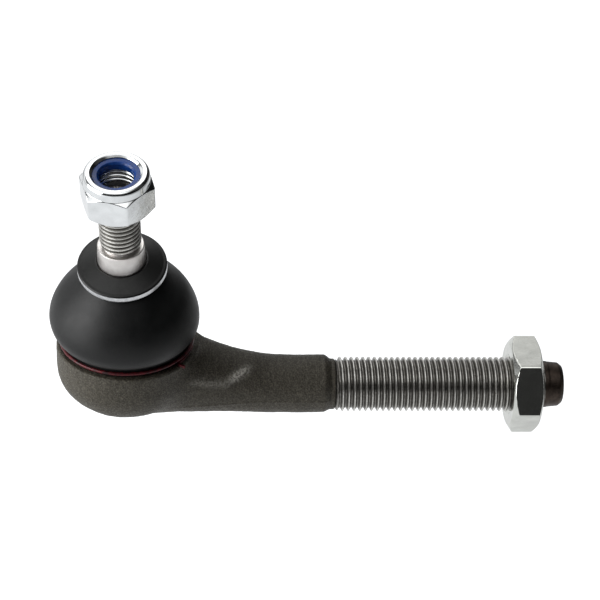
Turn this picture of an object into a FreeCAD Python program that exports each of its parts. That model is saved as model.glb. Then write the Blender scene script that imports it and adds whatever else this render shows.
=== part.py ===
"""Outer tie rod end: ball joint, tapered stud with lock nut, threaded shank with jam nut. Millimetres.

The origin is where the shank's axis crosses the housing's axis. +X runs along the shank, away from the
housing. +Z runs up the housing's axis, towards the stud. The stud is drawn leaning in its socket.
"""

import FreeCAD, Part
import math
import os

from FreeCAD import Vector

os.makedirs("parts", exist_ok=True)

X_AXIS = Vector(1, 0, 0)
Z_AXIS = Vector(0, 0, 1)
THREAD_DEPTH_PER_PITCH = 0.6134  # external metric thread
CREST_FLAT_PER_PITCH = 0.125
ROOT_FLAT_PER_PITCH = 0.167

# The ball, and how the stud leans from the housing's axis
BALL_CENTRE = Vector(0, 0, 13.5)
BALL_R = 10.0
LEAN_DEG = 13.0
LEAN_HEADING_DEG = 9.5  # the lean is towards -Y, turned this far towards -X

# Housing cup. Heights are along Z.
CUP_R = 17.55
CUP_RIM_Z = 13.1
CUP_CURVE_R = 10.0  # the round between the cup's side and its bottom
CUP_CURVE_TOP_Z = 7.4
CUP_BOTTOM_Z = -2.6
COLLAR_R = 14.9  # the stepped collar that the boot's lip sits on
COLLAR_TOP_Z = 18.6
MOUTH_OUTER_R = 14.1
CRIMP_TOP_Z = 22.0
CRIMP_UNDER_Z = 20.6
CRIMP_INNER_R = 11.8
SOCKET_R = 11.5
SOCKET_FLOOR_Z = 1.0
RING_SEAT_R = 12.5
RING_SEAT_Z = 18.2

# Shank. Stations are along X.
SHANK_R = 7.4
NECK_END = 39.0  # the neck's forging flows into the round shank here
BAR_START = 36.5  # inside the neck
SHANK_END = 50.1
SHANK_CHAMFER_END = 51.6
SHANK_NECK_R = 6.5  # the plain diameter that the thread is rolled from
THREAD_MAJOR_R = 7.0
THREAD_PITCH = 1.5
THREAD_START = 53.2
THREAD_FULL_END = 105.4
PILOT_START = 106.4
PILOT_R = 6.05
PILOT_TIP_R = 5.6
ROD_END = 111.4
BAR_END = THREAD_START - 0.6
SHANK_ROOT_R = THREAD_MAJOR_R - THREAD_DEPTH_PER_PITCH * THREAD_PITCH - 0.02

# Ball stud. Heights are along the stud, from the ball's centre.
NECK_R = 5.5
NECK_TOP = 18.0
TAPER_FOOT = 19.5
TAPER_TOP = 33.5
TAPER_TOP_R = 5.63
TAPER_R_PER_MM = 0.05  # a 1:10 taper on diameter
STUD_MAJOR_R = 5.0
STUD_PITCH = 1.25
STUD_THREAD_START = 34.9
STUD_END = 50.4
CENTRE_DRILL_R = 1.5

# Bearing parts
SEAT_CLEARANCE = 0.03
SEAT_GAP = 0.8  # between the two bearing halves
UPPER_SEAT_TOP_Z = 18.2
LOWER_SEAT_BOTTOM_Z = 2.0
SPRING_THICKNESS = 0.7
RING_TOP_Z = 20.6
RING_THROAT_R = 9.6
RING_FLARE_R = 10.9

# Boot. Each station is (height above the ball's centre, outer radius).
BOOT_WALL = 1.8
BOOT_PROFILE = (
    (4.2, 16.75), (5.3, 17.7), (7.0, 18.4), (9.4, 18.4), (12.2, 17.6),
    (15.2, 15.9), (18.2, 13.5), (20.9, 11.2), (23.0, 9.5),
)  # fmt: skip
BOOT_BEND_START = 4.2
BOOT_BEND_END = 23.0
BOOT_LIP_BOTTOM = -0.25
BOOT_LIP_R = 15.9
BOOT_NECK_TOP = 26.0
BOOT_NECK_R = 8.3
BOOT_GRIP = 0.04  # radial gap between the boot's neck and the stud
WIRE_R = 0.45
CLAMP_TURNS = 1.5
CLAMP_PITCH = 0.94
CLAMP_END_DEG = -37  # where the bent end sits, from +X
CLAMP_BEND_R = 1.1
CLAMP_END_LENGTH = 1.3
GARTER_WIRE_R = 0.5
GARTER_HEIGHT = 24.6

# Boot washer, a shallow cone with its inner edge high
WASHER_RIM_R = 10.8
WASHER_RIM_HEIGHT = 26.6
WASHER_RISE = 1.9
WASHER_THICKNESS = 1.0

# Lock nut, along the stud
LOCK_NUT_AF = 16.0
LOCK_NUT_FOOT = 46.2
LOCK_NUT_HEX_TOP = 54.2
LOCK_NUT_TOP = 56.7
COLLAR_NUT_R = 7.65
LOCK_NUT_TURN_DEG = 44.4
INSERT_OUTER_R = 6.6
INSERT_INNER_R = 4.2
INSERT_BOTTOM = 53.4
INSERT_TOP = 55.8
NUT_BORE_GAP = 0.03  # radial running gap between a nut's bore and its thread

# Jam nut, along X
JAM_NUT_AF = 22.0
JAM_NUT_FACE = 98.1
JAM_NUT_THICKNESS = 7.0
JAM_NUT_TURN_DEG = 5.0


def lean_axis():
    """The level line through the ball's centre that the stud leans about."""
    heading = math.radians(LEAN_HEADING_DEG)
    return Vector(math.cos(heading), -math.sin(heading), 0)


def leaned(shape, share=1.0):
    """A copy of a shape drawn on the stud's own axis, moved to the ball's centre and leaned."""
    out = shape.copy()
    out.rotate(Vector(0, 0, 0), lean_axis(), LEAN_DEG * share)
    out.translate(BALL_CENTRE)
    return out


def turned(profile):
    """Solid of revolution about Z from (radius, height) corners."""
    points = [Vector(r, 0, z) for r, z in profile]
    return Part.Face(Part.makePolygon(points + points[:1])).revolve(Vector(0, 0, 0), Z_AXIS, 360)


def cylinder(radius, low, high):
    return Part.makeCylinder(radius, high - low, Vector(0, 0, low))


def along_x(shape):
    """A shape drawn up the Z axis, laid along the shank."""
    out = shape.copy()
    out.rotate(Vector(0, 0, 0), Vector(0, 1, 0), 90)
    return out


def arc_points(centre_r, centre_z, radius, start_deg, end_deg, count):
    """Points (radius, height) on an arc, for a turned profile."""
    steps = [start_deg + (end_deg - start_deg) * i / count for i in range(count + 1)]
    return [
        (centre_r + radius * math.cos(math.radians(a)), centre_z + radius * math.sin(math.radians(a)))
        for a in steps
    ]


def thread_groove(major_r, pitch, low, high):
    """The V groove of an external thread, as a solid to cut from a blank along Z."""
    depth = THREAD_DEPTH_PER_PITCH * pitch
    over = 0.12 * pitch
    slope = (1 - CREST_FLAT_PER_PITCH - ROOT_FLAT_PER_PITCH) / 2 * pitch / depth
    root_half = ROOT_FLAT_PER_PITCH * pitch / 2
    mouth_half = root_half + slope * (depth + over)
    corners = [
        Vector(major_r - depth, 0, -root_half),
        Vector(major_r + over, 0, -mouth_half),
        Vector(major_r + over, 0, mouth_half),
        Vector(major_r - depth, 0, root_half),
    ]
    path = Part.Wire(Part.makeHelix(pitch, high - low, major_r).Edges)
    groove = path.makePipeShell([Part.makePolygon(corners + corners[:1])], True, True)
    groove.translate(Vector(0, 0, low))
    return groove


def threaded(major_r, pitch, low, high, envelope):
    """A threaded length of bar along Z, trimmed to an envelope that ends inside low and high."""
    bar = cylinder(major_r, low - pitch, high + pitch)
    return bar.cut(thread_groove(major_r, pitch, low, high)).common(envelope)


def hex_prism(across_flats, low, high):
    corner_r = across_flats / math.sqrt(3)
    corners = [
        Vector(corner_r * math.cos(math.radians(60 * i)), corner_r * math.sin(math.radians(60 * i)), low)
        for i in range(7)
    ]
    return Part.Face(Part.makePolygon(corners)).extrude(Vector(0, 0, high - low))


def cup_body():
    """The outside of the cup: bowl bottom, rim, stepped collar and rolled mouth."""
    curve_centre_r = CUP_R - CUP_CURVE_R
    curve = Part.Arc(
        Vector(CUP_R, 0, CUP_CURVE_TOP_Z),
        Vector(
            curve_centre_r + CUP_CURVE_R * math.cos(math.radians(-45)),
            0,
            CUP_CURVE_TOP_Z + CUP_CURVE_R * math.sin(math.radians(-45)),
        ),
        Vector(curve_centre_r, 0, CUP_BOTTOM_Z),
    ).toShape()
    corners = [
        Vector(CUP_R, 0, CUP_CURVE_TOP_Z),
        Vector(CUP_R, 0, CUP_RIM_Z - 0.7),
        Vector(CUP_R - 0.7, 0, CUP_RIM_Z),
        Vector(COLLAR_R, 0, CUP_RIM_Z),
        Vector(COLLAR_R, 0, COLLAR_TOP_Z),
        Vector(MOUTH_OUTER_R, 0, COLLAR_TOP_Z + 0.6),
        Vector(MOUTH_OUTER_R, 0, CRIMP_TOP_Z - 0.9),
        Vector(MOUTH_OUTER_R - 0.9, 0, CRIMP_TOP_Z),
        Vector(0, 0, CRIMP_TOP_Z),
        Vector(0, 0, CUP_BOTTOM_Z),
        Vector(curve_centre_r, 0, CUP_BOTTOM_Z),
    ]
    wire = Part.Wire([curve] + Part.makePolygon(corners).Edges)
    return Part.Face(wire).revolve(Vector(0, 0, 0), Z_AXIS, 360)


def oval_section(station, half_width, low, high, power=2.3):
    """One closed cross-section of the neck, across X, a little squarer than an ellipse."""
    mid = (low + high) / 2
    half_height = (high - low) / 2
    points = []
    for i in range(24):
        a = math.radians(15 * i)
        c, s = math.cos(a), math.sin(a)
        y = half_width * math.copysign(abs(c) ** (2 / power), c)
        z = mid + half_height * math.copysign(abs(s) ** (2 / power), s)
        points.append(Vector(station, y, z))
    curve = Part.BSplineCurve()
    curve.interpolate(points, PeriodicFlag=True)
    return Part.Wire(curve.toShape())


def neck_body():
    """The forged neck: a tall root inside the cup that flows down into the round shank."""
    skin = SHANK_R + 0.06
    under = SHANK_R - 0.2
    stations = (
        (-4.0, 6.0, -2.2, 8.0),
        (2.0, 8.2, -4.9, 11.0),
        (8.0, 9.6, -5.7, 12.2),
        (14.0, 10.2, -5.8, 12.6),
        (19.0, 9.7, -6.1, 12.0),
        (23.0, 8.9, -6.4, 10.5),
        (27.5, 8.1, -6.8, 9.1),
        (32.0, 7.7, -7.1, 8.2),
        (NECK_END - 3, skin, -skin, skin + 0.15),
        (NECK_END, skin, -skin, skin),
        (NECK_END + 4, under, -under, under),
    )
    sections = []
    for station, half_width, low, high in stations:
        power = 2.0 + 0.4 * max(0.0, (NECK_END - station) / NECK_END)
        sections.append(oval_section(station, half_width, low, high, power))
    return Part.makeLoft(sections, True, False)


def shank_bar():
    """The plain part of the shank: forged bar, chamfer, and the plain diameter before the thread."""
    bar = turned(
        [(0, BAR_START), (SHANK_R, BAR_START), (SHANK_R, SHANK_END), (SHANK_NECK_R, SHANK_CHAMFER_END),
         (SHANK_NECK_R, BAR_END), (0, BAR_END)]
    )  # fmt: skip
    return along_x(bar)


def shank_thread():
    """The rolled thread, chamfered at both ends."""
    envelope = turned(
        [(0, BAR_END), (SHANK_ROOT_R, BAR_END), (THREAD_MAJOR_R + 1, THREAD_START + 1.2),
         (THREAD_MAJOR_R + 1, THREAD_FULL_END - 1), (PILOT_R, PILOT_START), (0, PILOT_START)]
    )  # fmt: skip
    return along_x(threaded(THREAD_MAJOR_R, THREAD_PITCH, THREAD_START - 1.5, PILOT_START + 1, envelope))


def shank_pilot():
    """The plain end of the rod."""
    pilot = turned(
        [(0, PILOT_START), (PILOT_R, PILOT_START), (PILOT_TIP_R, ROD_END - 0.9),
         (PILOT_TIP_R - 0.7, ROD_END), (0, ROD_END)]
    )  # fmt: skip
    return along_x(pilot)


def socket_space():
    """The stepped hole in the cup, open at the top. The mouth's lip is rolled in over the closing ring."""
    socket = cylinder(SOCKET_R, SOCKET_FLOOR_Z, RING_SEAT_Z)
    ring_seat = cylinder(RING_SEAT_R, RING_SEAT_Z, CRIMP_UNDER_Z)
    mouth = cylinder(CRIMP_INNER_R, CRIMP_UNDER_Z, CRIMP_TOP_Z + 1)
    return socket.fuse([ring_seat, mouth])


def make_housing():
    """One forging: cup, neck, shank and pilot, with the rolled thread and the stepped socket."""
    forging = cup_body().fuse(neck_body()).fuse(shank_bar())
    forging = forging.cut(socket_space()).removeSplitter()
    return forging.fuse([shank_thread(), shank_pilot()])


def make_ball_stud():
    """Ball, neck, taper and stud thread in one piece, leaned in the socket."""
    root_r = STUD_MAJOR_R - THREAD_DEPTH_PER_PITCH * STUD_PITCH - 0.02
    foot_r = TAPER_TOP_R + TAPER_R_PER_MM * (TAPER_TOP - TAPER_FOOT)
    bar_end = TAPER_TOP + 0.7
    bar = turned(
        [(0, 0), (NECK_R, 0), (NECK_R, NECK_TOP), (foot_r, TAPER_FOOT), (TAPER_TOP_R, TAPER_TOP - 0.3),
         (TAPER_TOP_R - 0.4, TAPER_TOP), (root_r, TAPER_TOP), (root_r, bar_end), (0, bar_end)]
    )  # fmt: skip
    envelope = turned(
        [(0, bar_end), (root_r, bar_end), (STUD_MAJOR_R + 1, STUD_THREAD_START + 1.2),
         (STUD_MAJOR_R + 1, STUD_END - 2), (root_r - 0.1, STUD_END), (0, STUD_END)]
    )  # fmt: skip
    thread = threaded(STUD_MAJOR_R, STUD_PITCH, TAPER_TOP + 0.2, STUD_END + 1, envelope)
    drill_depth = 1.7 * CENTRE_DRILL_R
    centre_drill = Part.makeCone(0, CENTRE_DRILL_R, drill_depth, Vector(0, 0, STUD_END - drill_depth))
    shaft = bar.fuse(thread).cut(centre_drill)
    return leaned(shaft.fuse(Part.makeSphere(BALL_R)).removeSplitter())


def make_upper_seat():
    """Plastic bearing half over the top of the ball, up to the closing ring."""
    low = BALL_CENTRE.z + SEAT_GAP / 2
    blank = cylinder(SOCKET_R, low, UPPER_SEAT_TOP_Z)
    ball_space = Part.makeSphere(BALL_R + SEAT_CLEARANCE, BALL_CENTRE)
    return blank.cut(ball_space)


def make_lower_seat():
    """Plastic bearing half under the ball, with a grease hole through its foot."""
    high = BALL_CENTRE.z - SEAT_GAP / 2
    blank = turned(
        [
            (2.5, LOWER_SEAT_BOTTOM_Z),
            (SOCKET_R - 1.6, LOWER_SEAT_BOTTOM_Z),
            (SOCKET_R, LOWER_SEAT_BOTTOM_Z + 1.6),
            (SOCKET_R, high),
            (2.5, high),
        ]
    )
    ball_space = Part.makeSphere(BALL_R + SEAT_CLEARANCE, BALL_CENTRE)
    return blank.cut(ball_space)


def make_preload_spring():
    """Disc spring between the socket's floor and the lower bearing half."""
    low = SOCKET_FLOOR_Z
    high = LOWER_SEAT_BOTTOM_Z
    return turned(
        [(9.3, low), (9.5, low + SPRING_THICKNESS), (5.2, high), (5.0, high - SPRING_THICKNESS)]
    )


def make_closing_ring():
    """Steel ring over the upper bearing half, under the housing's rolled mouth."""
    return turned(
        [
            (RING_THROAT_R, RING_SEAT_Z),
            (RING_SEAT_R, RING_SEAT_Z),
            (RING_SEAT_R, RING_TOP_Z),
            (RING_FLARE_R, RING_TOP_Z),
            (RING_THROAT_R, RING_SEAT_Z + 1.2),
        ]
    )


def bend_share(height):
    """How much of the stud's lean the boot has at a height, rising smoothly from 0 to 1."""
    t = (height - BOOT_BEND_START) / (BOOT_BEND_END - BOOT_BEND_START)
    t = min(max(t, 0.0), 1.0)
    return t * t * (3 - 2 * t)


def boot_skin(inset):
    """The boot's belly as a loft through circles that lean more the higher they sit."""
    sections = []
    for height, radius in BOOT_PROFILE:
        circle = Part.Wire(Part.makeCircle(radius - inset, Vector(0, 0, height), Z_AXIS))
        sections.append(leaned(circle, bend_share(height)))
    return Part.makeLoft(sections, True, False)


def make_dust_boot():
    """Rubber boot: level lower lip on the housing's collar, bent belly, leaned neck on the taper."""
    foot = BALL_CENTRE.z + BOOT_PROFILE[0][0]
    lip_low = BALL_CENTRE.z + BOOT_LIP_BOTTOM
    bore_r = COLLAR_R + 0.02
    lip = turned(
        [(bore_r, lip_low), (BOOT_LIP_R, lip_low), (BOOT_LIP_R, foot - 0.6),
         (BOOT_PROFILE[0][1], foot), (bore_r, foot)]
    )  # fmt: skip
    shoulder = BOOT_PROFILE[-1][0]
    shoulder_r = BOOT_PROFILE[-1][1]
    grip_r = TAPER_TOP_R + TAPER_R_PER_MM * (TAPER_TOP - shoulder) + BOOT_GRIP
    groove_low = GARTER_HEIGHT - GARTER_WIRE_R - 0.15
    groove_high = GARTER_HEIGHT + GARTER_WIRE_R + 0.15
    neck_wall_r = BOOT_NECK_R - 0.9
    neck = turned(
        [(grip_r, shoulder), (shoulder_r, shoulder), (BOOT_NECK_R, groove_low),
         (neck_wall_r, groove_low), (neck_wall_r, groove_high), (BOOT_NECK_R, groove_high),
         (BOOT_NECK_R, BOOT_NECK_TOP - 0.3), (BOOT_NECK_R - 0.3, BOOT_NECK_TOP),
         (grip_r, BOOT_NECK_TOP)]
    )  # fmt: skip
    belly = boot_skin(0).cut(boot_skin(BOOT_WALL))
    return belly.fuse([lip, leaned(neck)]).removeSplitter()


def make_boot_clamp_ring():
    """Wire ring of a turn and a half round the boot's lower lip, with its lower end bent outwards."""
    ring_r = BOOT_LIP_R + WIRE_R + 0.03
    low = BALL_CENTRE.z + BOOT_LIP_BOTTOM + WIRE_R
    first = math.radians(CLAMP_END_DEG)
    outwards = Vector(math.cos(first), math.sin(first), 0)
    backwards = Vector(math.sin(first), -math.cos(first), 0)
    corner = outwards * ring_r + Vector(0, 0, low)
    tip = corner + backwards * CLAMP_BEND_R + outwards * (CLAMP_BEND_R + CLAMP_END_LENGTH)
    points = [tip, tip - outwards * (CLAMP_END_LENGTH / 2)]
    for degrees in range(90, 0, -15):
        a = math.radians(degrees)
        bend = backwards * math.sin(a) + outwards * (1 - math.cos(a))
        points.append(corner + bend * CLAMP_BEND_R)
    for i in range(int(36 * CLAMP_TURNS) + 1):
        a = first + math.radians(10 * i)
        points.append(Vector(ring_r * math.cos(a), ring_r * math.sin(a), low + CLAMP_PITCH * i / 36))
    curve = Part.BSplineCurve()
    curve.interpolate(points)
    section = Part.Wire(Part.makeCircle(WIRE_R, tip, outwards))
    return Part.Wire(curve.toShape()).makePipeShell([section], True, False)


def make_boot_garter_ring():
    """Small wire ring in the groove of the boot's neck."""
    ring_r = BOOT_NECK_R - 0.9 + GARTER_WIRE_R + 0.02
    return leaned(Part.makeTorus(ring_r, GARTER_WIRE_R, Vector(0, 0, GARTER_HEIGHT), Z_AXIS))


def make_boot_washer():
    """Shallow cone washer that rests on the boot's neck, round the taper."""
    inner = WASHER_RIM_HEIGHT + WASHER_RISE
    bore_r = TAPER_TOP_R + TAPER_R_PER_MM * (TAPER_TOP - inner + WASHER_THICKNESS) + BOOT_GRIP
    washer = turned(
        [
            (bore_r, inner - WASHER_THICKNESS),
            (WASHER_RIM_R, WASHER_RIM_HEIGHT - WASHER_THICKNESS),
            (WASHER_RIM_R, WASHER_RIM_HEIGHT),
            (bore_r, inner),
        ]
    )
    return leaned(washer)


def make_lock_nut_body():
    """Hexagon nut with a round collar rolled in over the nylon ring."""
    corner_r = LOCK_NUT_AF / math.sqrt(3)
    flat_r = LOCK_NUT_AF / 2
    envelope = turned(
        [
            (0, LOCK_NUT_FOOT),
            (flat_r - 0.3, LOCK_NUT_FOOT),
            (corner_r, LOCK_NUT_FOOT + 1.3),
            (corner_r, LOCK_NUT_HEX_TOP - 1.6),
            (flat_r - 0.15, LOCK_NUT_HEX_TOP),
            (0, LOCK_NUT_HEX_TOP),
        ]
    )
    prism = hex_prism(LOCK_NUT_AF, LOCK_NUT_FOOT, LOCK_NUT_HEX_TOP)
    prism.rotate(Vector(0, 0, 0), Z_AXIS, LOCK_NUT_TURN_DEG)
    hexagon = prism.common(envelope)
    rim = arc_points(COLLAR_NUT_R - 1.2, LOCK_NUT_TOP - 1.2, 1.2, 0, 90, 6)
    foot = LOCK_NUT_HEX_TOP - 1
    collar = turned([(0, foot), (COLLAR_NUT_R, foot)] + rim + [(0, LOCK_NUT_TOP)])
    bore_r = STUD_MAJOR_R + NUT_BORE_GAP
    hole = turned(
        [
            (0, LOCK_NUT_FOOT - 1),
            (bore_r + 1.7, LOCK_NUT_FOOT - 1),
            (bore_r, LOCK_NUT_FOOT + 0.7),
            (bore_r, INSERT_BOTTOM),
            (INSERT_OUTER_R, INSERT_BOTTOM),
            (INSERT_OUTER_R, INSERT_TOP),
            (INSERT_OUTER_R - 1.0, INSERT_TOP),
            (INSERT_OUTER_R - 0.8, LOCK_NUT_TOP + 1),
            (0, LOCK_NUT_TOP + 1),
        ]
    )
    return leaned(hexagon.fuse(collar).cut(hole).removeSplitter())


def make_lock_nut_insert():
    """Nylon ring in the lock nut's collar. Its bore is smaller than the stud's thread."""
    ring = turned(
        [
            (INSERT_INNER_R + 0.5, INSERT_BOTTOM),
            (INSERT_OUTER_R, INSERT_BOTTOM),
            (INSERT_OUTER_R, INSERT_TOP),
            (INSERT_INNER_R + 0.4, INSERT_TOP),
            (INSERT_INNER_R, INSERT_TOP - 0.4),
            (INSERT_INNER_R, INSERT_BOTTOM + 0.5),
        ]
    )
    return leaned(ring)


def make_jam_nut():
    """Thin hexagon nut, chamfered both sides, on the shank's thread."""
    corner_r = JAM_NUT_AF / math.sqrt(3)
    face_r = JAM_NUT_AF / 2 - 0.5
    low = JAM_NUT_FACE
    high = JAM_NUT_FACE + JAM_NUT_THICKNESS
    envelope = turned(
        [(0, low), (face_r, low), (corner_r, low + 1.3), (corner_r, high - 1.3), (face_r, high), (0, high)]
    )
    bore_r = THREAD_MAJOR_R + NUT_BORE_GAP
    hole = turned(
        [
            (0, low - 1),
            (bore_r + 1.6, low - 1),
            (bore_r, low + 0.6),
            (bore_r, high - 0.6),
            (bore_r + 1.6, high + 1),
            (0, high + 1),
        ]
    )
    nut = hex_prism(JAM_NUT_AF, low, high).common(envelope).cut(hole)
    nut.rotate(Vector(0, 0, 0), Z_AXIS, JAM_NUT_TURN_DEG)
    return along_x(nut)


MAKERS = {
    "housing": make_housing,
    "upper_seat": make_upper_seat,
    "lower_seat": make_lower_seat,
    "preload_spring": make_preload_spring,
    "closing_ring": make_closing_ring,
    "ball_stud": make_ball_stud,
    "dust_boot": make_dust_boot,
    "boot_clamp_ring": make_boot_clamp_ring,
    "boot_garter_ring": make_boot_garter_ring,
    "boot_washer": make_boot_washer,
    "lock_nut_body": make_lock_nut_body,
    "lock_nut_insert": make_lock_nut_insert,
    "jam_nut": make_jam_nut,
}

for name, make in MAKERS.items():
    solid = make()
    box = solid.BoundBox
    print(name, solid.ShapeType, "solids", len(solid.Solids), "valid", solid.isValid(),
          "volume", round(solid.Volume, 1), "z", round(box.ZMin, 2), round(box.ZMax, 2))  # fmt: skip
    solid.exportStep(f"parts/{name}.step")
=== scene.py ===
"""Tie rod end: the visual model, the studio and the camera. Shapes are written in millimetres."""

import math

import bmesh
import bpy
import numpy as np
from mathutils import Matrix, Vector


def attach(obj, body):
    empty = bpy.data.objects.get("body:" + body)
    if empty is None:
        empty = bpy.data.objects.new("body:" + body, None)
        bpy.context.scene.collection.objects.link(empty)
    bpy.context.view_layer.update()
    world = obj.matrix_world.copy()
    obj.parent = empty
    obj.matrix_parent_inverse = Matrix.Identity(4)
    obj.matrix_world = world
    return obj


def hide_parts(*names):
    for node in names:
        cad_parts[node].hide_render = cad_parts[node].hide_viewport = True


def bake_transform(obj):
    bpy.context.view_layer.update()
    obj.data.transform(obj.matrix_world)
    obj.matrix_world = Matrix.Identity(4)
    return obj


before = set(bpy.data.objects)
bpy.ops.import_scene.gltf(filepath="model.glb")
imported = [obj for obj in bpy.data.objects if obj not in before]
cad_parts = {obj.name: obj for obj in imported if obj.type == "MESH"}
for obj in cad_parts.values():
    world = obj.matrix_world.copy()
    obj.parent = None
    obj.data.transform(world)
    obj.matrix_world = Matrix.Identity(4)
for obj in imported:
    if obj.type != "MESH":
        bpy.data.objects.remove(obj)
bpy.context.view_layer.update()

MM = 0.001
TAU = 2 * math.pi

# The stud's axis at rest: its tilt from upright, towards the camera and a little to the left
BALL_CENTRE = np.array([0.0, 0.0, 13.5])
LEAN = math.radians(13.0)
LEAN_HEADING = math.radians(9.5)
LEAN_AXIS = np.array([math.cos(LEAN_HEADING), -math.sin(LEAN_HEADING), 0.0])

# Outside radius and pitch of the two metric threads
SHANK_THREAD_R = 7.0
SHANK_PITCH = 1.5
STUD_THREAD_R = 5.0
STUD_PITCH = 1.25
# Metric thread proportions, as shares of the pitch
THREAD_DEPTH = 0.6134
CREST_SHARE = 0.125
ROOT_SHARE = 0.20
THREAD_CREASE_DEG = 50


# ---------------------------------------------------------------- geometry helpers


def turn_matrix(axis, angle):
    """Rotation matrix about a unit axis."""
    x, y, z = axis
    c, s = math.cos(angle), math.sin(angle)
    k = np.array([[0, -z, y], [z, 0, -x], [-y, x, 0]])
    return np.eye(3) * c + s * k + (1 - c) * np.outer(axis, axis)


def leaned(points, share=1.0):
    """Points drawn on the stud's own axis, moved to the ball's centre and leaned."""
    return np.asarray(points) @ turn_matrix(LEAN_AXIS, LEAN * share).T + BALL_CENTRE


def along_x(points):
    """Points drawn up the Z axis, laid along the shank."""
    p = np.asarray(points, float)
    return np.stack([p[:, 2], p[:, 1], -p[:, 0]], 1)


def about_z(points, angle):
    """Points turned about the Z axis."""
    return points @ turn_matrix(np.array([0, 0, 1.0]), angle).T


def smooth_step(t):
    t = np.clip(t, 0, 1)
    return t * t * (3 - 2 * t)


def bell(distance, width):
    """1 at no distance, falling smoothly to nothing over about twice the width."""
    return np.exp(-((distance / width) ** 2))


def soft_min(a, b, width):
    """The smaller of two values, eased where they cross."""
    h = np.clip(0.5 + 0.5 * (b - a) / width, 0, 1)
    return b * (1 - h) + a * h - width * h * (1 - h)


def new_object(name, data):
    """A new object, placed in the scene."""
    obj = bpy.data.objects.new(name, data)
    bpy.context.scene.collection.objects.link(obj)
    return obj


def set_light_mask(mesh, values):
    """Stores a value from 0 to 1 at each vertex, which the materials use to paint shade and highlights."""
    mesh.attributes.new("crest", "FLOAT", "POINT").data.foreach_set("value", np.asarray(values, float))


def shade_smooth(mesh, crease_deg):
    """Smooth shading that breaks at edges sharper than an angle."""
    mesh.polygons.foreach_set("use_smooth", [True] * len(mesh.polygons))
    mesh.set_sharp_from_angle(angle=math.radians(crease_deg))


def build(name, points, faces, crease_deg=35.0, crest=None):
    """A smooth-shaded mesh object from points in millimetres. crest holds a light mask for each point, for
    painted shade and highlights.
    """
    mesh = bpy.data.meshes.new(name)
    mesh.from_pydata((np.asarray(points) * MM).tolist(), [], faces)
    if crest is not None:
        set_light_mask(mesh, crest)
    work = bmesh.new()
    work.from_mesh(mesh)
    bmesh.ops.remove_doubles(work, verts=work.verts, dist=2e-7)
    bmesh.ops.dissolve_degenerate(work, edges=work.edges, dist=1e-8)
    bmesh.ops.recalc_face_normals(work, faces=work.faces)
    work.to_mesh(mesh)
    work.free()
    shade_smooth(mesh, crease_deg)
    return new_object(name, mesh)


def read_vertices(mesh, what):
    """The vertices' places ("co", in metres) or directions ("normal")."""
    values = np.empty(len(mesh.vertices) * 3)
    mesh.vertices.foreach_get(what, values)
    return values.reshape(-1, 3)


def move_vertices(mesh, points):
    """Puts a mesh's vertices at points in millimetres."""
    mesh.vertices.foreach_set("co", (points * MM).ravel())
    mesh.update()


def with_modifiers(obj):
    """A new mesh of the object with its modifiers applied."""
    bpy.context.view_layer.update()
    graph = bpy.context.evaluated_depsgraph_get()
    return bpy.data.meshes.new_from_object(obj.evaluated_get(graph))


def rounded(corners, steps=6):
    """A (radius, height) outline with its corners rounded. Each corner is (r, z) or (r, z, rounding)."""
    out = []
    count = len(corners)
    for i, corner in enumerate(corners):
        here = np.array(corner[:2], float)
        radius = corner[2] if len(corner) > 2 else 0.0
        before = np.array(corners[i - 1][:2], float)
        after = np.array(corners[(i + 1) % count][:2], float)
        if radius <= 0:
            out.append(tuple(here))
            continue
        u, v = before - here, after - here
        lu, lv = np.linalg.norm(u), np.linalg.norm(v)
        u, v = u / lu, v / lv
        half = math.acos(float(np.clip(u @ v, -1, 1))) / 2
        reach = min(radius / math.tan(half), 0.49 * lu, 0.49 * lv)
        radius = reach * math.tan(half)
        middle = (u + v) / np.linalg.norm(u + v) * (radius / math.sin(half))
        start, end = u * reach - middle, v * reach - middle
        for k in range(steps + 1):
            t = k / steps
            arm = start * (1 - t) + end * t
            arm = arm / np.linalg.norm(arm) * radius
            out.append(tuple(here + middle + arm))
    return out


def densify(outline, longest):
    """Adds points so that no step of a closed outline is longer than a length."""
    out = []
    for a, b in zip(outline, outline[1:] + outline[:1]):
        a, b = np.array(a), np.array(b)
        parts = max(1, int(math.ceil(np.linalg.norm(b - a) / longest)))
        out += [tuple(a + (b - a) * k / parts) for k in range(parts)]
    return out


def ring_points(radius, turns, height):
    """Points at a radius and a height for each angle about Z, or for each row and angle."""
    x, y, z = np.broadcast_arrays(radius * np.cos(turns), radius * np.sin(turns), height)
    return np.stack([x, y, z], -1).reshape(-1, 3)


def ring_faces(rings, count, closed=False):
    """Quads between rings of count points. closed joins the last ring to the first."""
    faces = []
    for i in range(rings if closed else rings - 1):
        a, b = i * count, ((i + 1) % rings) * count
        for j in range(count):
            n = (j + 1) % count
            faces.append((a + j, a + n, b + n, b + j))
    return faces


def capped_faces(rings, count):
    """Quads between rings of points, and a flat face over each end."""
    last = (rings - 1) * count
    return ring_faces(rings, count) + [tuple(range(count)), tuple(last + j for j in range(count))]


def lathe(outline, segments=160, closed=True):
    """Points and faces of an outline of (radius, height) turned about Z."""
    turns = np.arange(segments) / segments * TAU
    points = np.concatenate([ring_points(r, turns, z) for r, z in outline])
    return points, ring_faces(len(outline), segments, closed)


def tube(path, radius, sides):
    """A round wire along a path of points, closed at both ends."""
    path = np.asarray(path, float)
    along = np.gradient(path, axis=0)
    along /= np.linalg.norm(along, axis=1)[:, None]
    radii = np.full(len(path), radius)
    radii[0] = radii[-1] = radius * 0.72
    points = []
    for p, t, r in zip(path, along, radii):
        side = np.cross(t, np.array([0.0, 0.0, 1.0]))
        side /= np.linalg.norm(side)
        top = np.cross(side, t)
        for k in range(sides):
            a = TAU * k / sides
            points.append(p + r * (math.cos(a) * side + math.sin(a) * top))
    return np.array(points), capped_faces(len(path), sides)


# ---------------------------------------------------------------- threads and hexagons


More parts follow.
